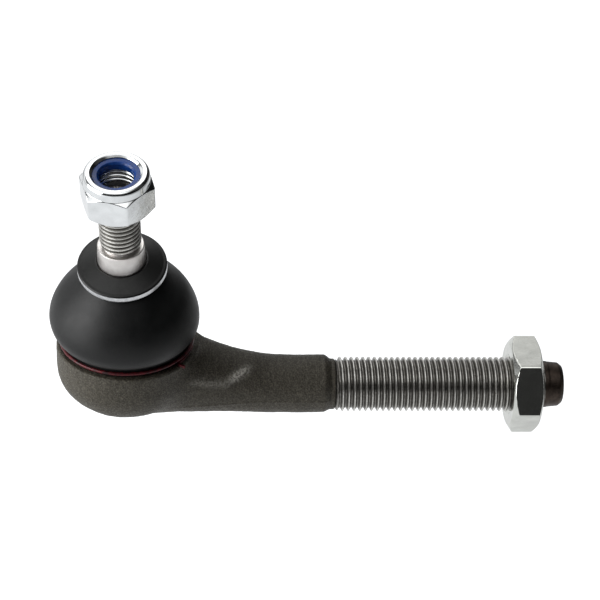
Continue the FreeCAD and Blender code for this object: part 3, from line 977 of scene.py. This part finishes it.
def make_boot():
    """The boot: turned, slightly out of round, with a faint mould line, and bent with the stud's lean."""
    points, faces = lathe(densify(boot_outline(), 0.5), 176)
    share = np.round(bend_share(points[:, 2]), 5)
    height = points[:, 2].copy()
    r = np.hypot(points[:, 0], points[:, 1])
    turn = np.arctan2(points[:, 1], points[:, 0])
    seam = 0.05 * bell(np.sin(turn - 0.6) * r, 0.22) * (r > 17.0)
    ripple = 0.05 * np.sin(2 * turn + 0.8) * smooth_step((height - 5) / 6) * smooth_step((22 - height) / 6)
    points[:, :2] *= (1 + (seam + ripple) / r)[:, None]
    bent = np.empty_like(points)
    for level in np.unique(share):
        rows = share == level
        bent[rows] = leaned(points[rows], level)
    bent[:, 0] += BOOT_SHIFT * smooth_step((height - 4) / 8) * smooth_step((23 - height) / 6)
    return build("dust_boot_skin", bent, faces, 60)


def make_clamp_ring():
    """A turn and a half of wire round the boot's lip, its lower end bent out."""
    ring_r = LIP_R + WIRE_R + 0.03
    low = BALL_CENTRE[2] + LIP_FOOT + WIRE_R
    start = math.radians(-37)
    rise_per_turn = 0.94
    turns = np.linspace(0, 1.5 * TAU, 200)
    coil = ring_points(ring_r, start + turns, low + rise_per_turn * turns / TAU)
    out = np.array([math.cos(start), math.sin(start), 0])
    back = np.array([math.sin(start), -math.cos(start), 0])
    bend_r = 1.1
    bend = [
        coil[0] + back * bend_r * math.sin(a) + out * bend_r * (1 - math.cos(a))
        for a in np.linspace(0, math.pi / 2, 9)[1:]
    ]
    tail = [bend[-1] + out * k for k in (0.4, 0.8, 1.25, 1.3)]
    path = np.concatenate([tail[::-1], bend[::-1], coil])
    return build("clamp_wire", *tube(path, WIRE_R, 18))


def make_garter():
    """A closed ring of fine coil spring in the groove of the boot's neck."""
    turns = np.linspace(0, TAU, 901)[:-1]
    coils = 60
    wind = turns * coils
    radius = GARTER_RING_R + GARTER_COIL_R * np.cos(wind)
    path = ring_points(radius, turns, GARTER_HEIGHT + GARTER_COIL_R * np.sin(wind))
    points, faces = tube(np.concatenate([path, path[:1]]), 0.15, 6)
    return build("garter_coil", leaned(points), faces)


def make_washer():
    """The shallow cone washer on top of the boot, tipped a little further forward than the stud."""
    outline = [
        (6.02, 27.9), (9.4, 26.4, 0.4), (10.0, 25.05, 0.1), (10.65, 25.0, 0.15), (10.88, 25.5, 0.2),
        (10.85, 26.7, 0.2), (10.6, 27.0, 0.25), (10.0, 27.15, 0.6), (6.4, 28.8, 0.25),
        (6.02, 28.75, 0.1)]  # fmt: skip
    points, faces = lathe(rounded(outline))
    tipped = (points - WASHER_PIVOT) @ turn_matrix(LEAN_AXIS, WASHER_TILT).T + WASHER_PIVOT
    return build("washer_cone", leaned(tipped), faces)


def bare_rim(washer):
    """Gives the washer's rim the bare metal of its worn edge."""
    washer.data.materials.append(EDGE)
    unlean = turn_matrix(LEAN_AXIS, -LEAN)
    untip = turn_matrix(LEAN_AXIS, -WASHER_TILT)
    for face in washer.data.polygons:
        p = unlean @ (np.array(face.center) / MM - BALL_CENTRE)
        p = untip @ (p - WASHER_PIVOT) + WASHER_PIVOT
        if math.hypot(p[0], p[1]) > 10.3 and p[2] < 26.4:
            face.material_index = 1


boot = make_boot()
boot.data.materials.append(RUBBER)
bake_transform(boot)
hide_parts("dust_boot")
finish_piece(make_clamp_ring(), WIRE, "housing", "boot_clamp_ring")
finish_piece(make_garter(), OILED, "boot_top", "boot_garter_ring")
washer = make_washer()
finish_piece(washer, WASHER, "boot_top", "boot_washer")
bare_rim(washer)


# ---------------------------------------------------------------- the nuts

LOCK_ACROSS_FLATS = 16.0
LOCK_FOOT = 46.2
LOCK_HEX_TOP = 54.2
LOCK_TOP = 56.7
LOCK_NUT_TURN = math.radians(14.4)
LOCK_BORE_R = 5.05
BORE_CREST_R = 4.46
BORE_ROOT_R = 5.04
INSERT_FLOOR = 53.4
INSERT_SEAT_R = 6.6
JAM_ACROSS_FLATS = 22.0
JAM_LOW = 97.6
JAM_HIGH = 105.1
JAM_NUT_TURN = math.radians(5.0)
JAM_BORE_R = 7.05
NUT_CREASE_DEG = 24


def make_lock_nut():
    """Hexagon with a rolled collar over the insert's seat."""
    outline = rounded([
        (LOCK_BORE_R, LOCK_FOOT + 0.7), (5.75, LOCK_FOOT, 0.1), (7.3, LOCK_FOOT, 0.25),
        (9.4, LOCK_FOOT + 1.8, 0.3), (9.4, LOCK_HEX_TOP - 0.95, 0.25), (7.9, LOCK_HEX_TOP, 0.25),
        (7.86, LOCK_HEX_TOP + 0.5, 0.2), (7.78, LOCK_TOP - 0.6, 0.9), (7.2, LOCK_TOP, 0.8),
        (6.2, LOCK_TOP, 0.6), (5.42, LOCK_TOP - 0.68, 0.1), (INSERT_SEAT_R, LOCK_TOP - 0.75),
        (INSERT_SEAT_R, INSERT_FLOOR), (5.35, INSERT_FLOOR), (LOCK_BORE_R, INSERT_FLOOR - 0.3),
        (LOCK_BORE_R, 51.0)])  # fmt: skip
    points, faces = hex_nut(outline, LOCK_ACROSS_FLATS)
    return build("lock_nut_hex", leaned(about_z(points, LOCK_NUT_TURN)), faces, NUT_CREASE_DEG)


def make_lock_nut_thread():
    """The turns of the nut's thread that show above the stud's end, in step with the stud's thread."""
    low, high = STUD_END - 1.6, INSERT_FLOOR - 0.05
    segments, per_pitch = 144, 14
    phase, turns, height = helix_grid(low, high, STUD_PITCH, 0, segments, per_pitch)
    radius = BORE_CREST_R + (BORE_ROOT_R - BORE_CREST_R) * (1 - thread_depth(phase))[:, None]
    # The top half millimetre opens out to the insert's seat
    radius = np.maximum(radius, 5.3 - 0.6 * np.clip((high - height) / 0.5, 0, 1))
    points = ring_points(radius, turns, np.clip(height, low, high))
    faces = helix_faces(len(phase), segments, per_pitch)
    return build("lock_nut_bore_thread", leaned(points), faces, THREAD_CREASE_DEG)


def make_insert():
    """The nylon ring, its bore smaller than the stud's thread."""
    outline = rounded([
        (4.5, INSERT_FLOOR, 0.2), (6.58, INSERT_FLOOR), (6.58, LOCK_TOP - 0.8, 0.1),
        (5.4, LOCK_TOP - 0.74, 0.1), (4.5, LOCK_TOP - 0.85, 0.35), (4.1, LOCK_TOP - 1.4, 0.2),
        (4.12, INSERT_FLOOR + 0.3, 0.2)])  # fmt: skip
    points, faces = lathe(outline, 128)
    return build("nylon_ring", leaned(points), faces)


def make_jam_nut():
    """Thin hexagon nut, chamfered both sides."""
    outline = rounded([
        (JAM_BORE_R, JAM_LOW + 0.7), (7.8, JAM_LOW, 0.1), (10.5, JAM_LOW, 0.3), (13.0, JAM_LOW + 1.6, 0.35),
        (13.0, JAM_HIGH - 1.15, 0.25), (10.7, JAM_HIGH, 0.25), (7.8, JAM_HIGH, 0.1),
        (JAM_BORE_R, JAM_HIGH - 0.7)])  # fmt: skip
    points, faces = hex_nut(outline, JAM_ACROSS_FLATS)
    return build("jam_nut_hex", along_x(about_z(points, JAM_NUT_TURN)), faces, NUT_CREASE_DEG)


finish_piece(make_lock_nut(), ZINC, "lock_nut", "lock_nut_body")
finish_piece(make_lock_nut_thread(), ZINC, "lock_nut", "lock_nut_body")
finish_piece(make_insert(), NYLON, "nut_ring", "lock_nut_insert")
finish_piece(make_jam_nut(), JAM_ZINC, "jam_nut", "jam_nut")


# ---------------------------------------------------------------- hidden CAD pieces

for name, material in (("upper_seat", SEAT), ("lower_seat", SEAT), ("preload_spring", OILED),
                       ("closing_ring", OILED)):  # fmt: skip
    obj = bpy.data.objects.get(name)
    if obj is not None:
        obj.data.materials.clear()
        obj.data.materials.append(material)


# ---------------------------------------------------------------- studio

TABLE_Z = -30.0
TABLE_HALF_M = 6.0
TABLE_GLOW = 0.16
TABLE_SEEN = 0.9
TABLE_MIRRORED = 0.5
# Brightness round the sky, from the camera's horizon (0) over the top (0.5) to the far horizon (1)
SKY = (
    (0.0, 0.02), (0.20, 0.02), (0.30, 0.80), (0.38, 1.0), (0.47, 0.70), (0.59, 0.15), (0.70, 0.13),
    (0.78, 0.62), (0.91, 0.62), (0.98, 0.03))  # fmt: skip
SKY_LEVEL = 1.75
# Shares of that brightness: on the right, and for surfaces that scatter rather than mirror
SKY_RIGHT = 0.03
SKY_DIFFUSE = 0.20


def make_table():
    """A wide white table that glows a little, so that it reads as plain white under the part.

    In mirrored rays its glow fades towards the right, past the jam nut.
    """
    mesh = bpy.data.meshes.new("table")
    h, z = TABLE_HALF_M, TABLE_Z * MM
    mesh.from_pydata([(-h, -h, z), (h, -h, z), (h, h, z), (-h, h, z)], [], [(0, 1, 2, 3)])
    table = new_object("table", mesh)
    s = Surface("table_white")
    cloud = s.noise(0.002, 2.0)
    s.feed("Base Color", s.mix(s.ramp(cloud, 0.3, 0.7), (0.50, 0.50, 0.50), (0.53, 0.53, 0.53)))
    s.set(Roughness=0.9, Emission_Color=(0.97, 0.985, 1.0, 1))
    ray = s.nodes.new("ShaderNodeLightPath")
    across = s.nodes.new("ShaderNodeSeparateXYZ")
    s.links.new(s.point, across.inputs[0])
    seen = math_node(s.tree, "MULTIPLY_ADD", ray.outputs["Is Camera Ray"], TABLE_SEEN, TABLE_GLOW)
    mirrored = math_node(s.tree, "MULTIPLY", ray.outputs["Is Glossy Ray"], TABLE_MIRRORED)
    lit = s.ramp(across.outputs["X"], 95.0, 200.0, 1.0, 0.12)
    s.feed("Emission Strength", math_node(s.tree, "MULTIPLY_ADD", mirrored, lit, seen))
    table.data.materials.append(s.material)


def area_light(name, position, target, width, power, height=None):
    """A soft light, square unless it has a height. Its sizes are in metres."""
    data = bpy.data.lights.new(name, "AREA")
    data.energy = power
    data.size = width
    if height:
        data.shape = "RECTANGLE"
        data.size_y = height
    light = new_object(name, data)
    light.location = Vector(position) * MM
    light.rotation_euler = (Vector(target) * MM - light.location).to_track_quat("-Z", "Y").to_euler()


def make_world():
    """Pale surroundings: bright overhead and low at the back, dark at the camera's side and on the right."""
    world = bpy.data.worlds.new("studio")
    bpy.context.scene.world = world
    world.use_nodes = True
    tree = world.node_tree
    nodes, links = tree.nodes, tree.links
    where = nodes.new("ShaderNodeTexCoord")
    split = nodes.new("ShaderNodeSeparateXYZ")
    links.new(where.outputs["Generated"], split.inputs[0])
    towards_camera = math_node(tree, "MULTIPLY", split.outputs["Y"], -1.0)
    rise = math_node(tree, "ARCTAN2", split.outputs["Z"], towards_camera)
    sky = nodes.new("ShaderNodeValToRGB")
    sky.color_ramp.interpolation = "EASE"
    stops = sky.color_ramp.elements
    stops[0].position, stops[1].position = SKY[0][0], SKY[-1][0]
    for position, _ in SKY[1:-1]:
        stops.new(position)
    for stop, (_, level) in zip(stops, SKY):
        stop.color = (level, level, level, 1.0)
    links.new(math_node(tree, "DIVIDE", rise, math.pi), sky.inputs["Fac"])
    right = nodes.new("ShaderNodeMapRange")
    right.interpolation_type = "SMOOTHSTEP"
    for key, number in (("From Min", 0.12), ("From Max", 0.55), ("To Min", 1.0), ("To Max", SKY_RIGHT)):
        right.inputs[key].default_value = number
    links.new(split.outputs["X"], right.inputs["Value"])
    ray = nodes.new("ShaderNodeLightPath")
    share = math_node(tree, "MULTIPLY_ADD", ray.outputs["Is Glossy Ray"], 1.0 - SKY_DIFFUSE, SKY_DIFFUSE)
    level = math_node(tree, "MULTIPLY", sky.outputs["Color"], right.outputs["Result"])
    level = math_node(tree, "MULTIPLY", level, share)
    background = nodes["Background"]
    links.new(math_node(tree, "MULTIPLY", level, SKY_LEVEL), background.inputs["Strength"])
    background.inputs["Color"].default_value = (1.0, 1.0, 1.0, 1.0)


# Camera: where it looks from, and where the part sits in its frame
CAMERA_YAW = math.radians(5.0)
CAMERA_DROP = math.radians(33.0)
CAMERA_ROLL = math.radians(-2.94)
CAMERA_DISTANCE = 508.05
CAMERA_LENS = 120.0
CAMERA_SIDE = -43.90
CAMERA_DOWN = 21.26


def make_camera():
    """A long lens looking down over the housing, a little from the left."""
    forward = np.array([math.sin(CAMERA_YAW) * math.cos(CAMERA_DROP),
                        math.cos(CAMERA_YAW) * math.cos(CAMERA_DROP), -math.sin(CAMERA_DROP)])  # fmt: skip
    right = np.array([math.cos(CAMERA_YAW), -math.sin(CAMERA_YAW), 0.0])
    down = np.cross(forward, right)
    c, s = math.cos(CAMERA_ROLL), math.sin(CAMERA_ROLL)
    right, down = right * c + down * s, down * c - right * s
    place = -(right * CAMERA_SIDE + down * CAMERA_DOWN + forward * CAMERA_DISTANCE)
    data = bpy.data.cameras.new("camera")
    data.lens = CAMERA_LENS
    data.sensor_width = 36.0
    data.clip_start = 0.01
    data.clip_end = 50.0
    camera = new_object("camera", data)
    rows = np.stack([right, -down, -forward, place * MM], 1)
    camera.matrix_world = Matrix([*rows.tolist(), (0.0, 0.0, 0.0, 1.0)])
    bpy.context.scene.camera = camera


make_table()
make_world()
area_light("key_left", (-500, -170, 120), (10, 0, 5), 0.5, 3.6)
area_light("overhead", (-40, 260, 520), (40, 0, 0), 0.4, 0.6, 0.25)
make_camera()
bpy.context.scene.view_settings.view_transform = "Standard"
bpy.context.scene.view_settings.look = "None"
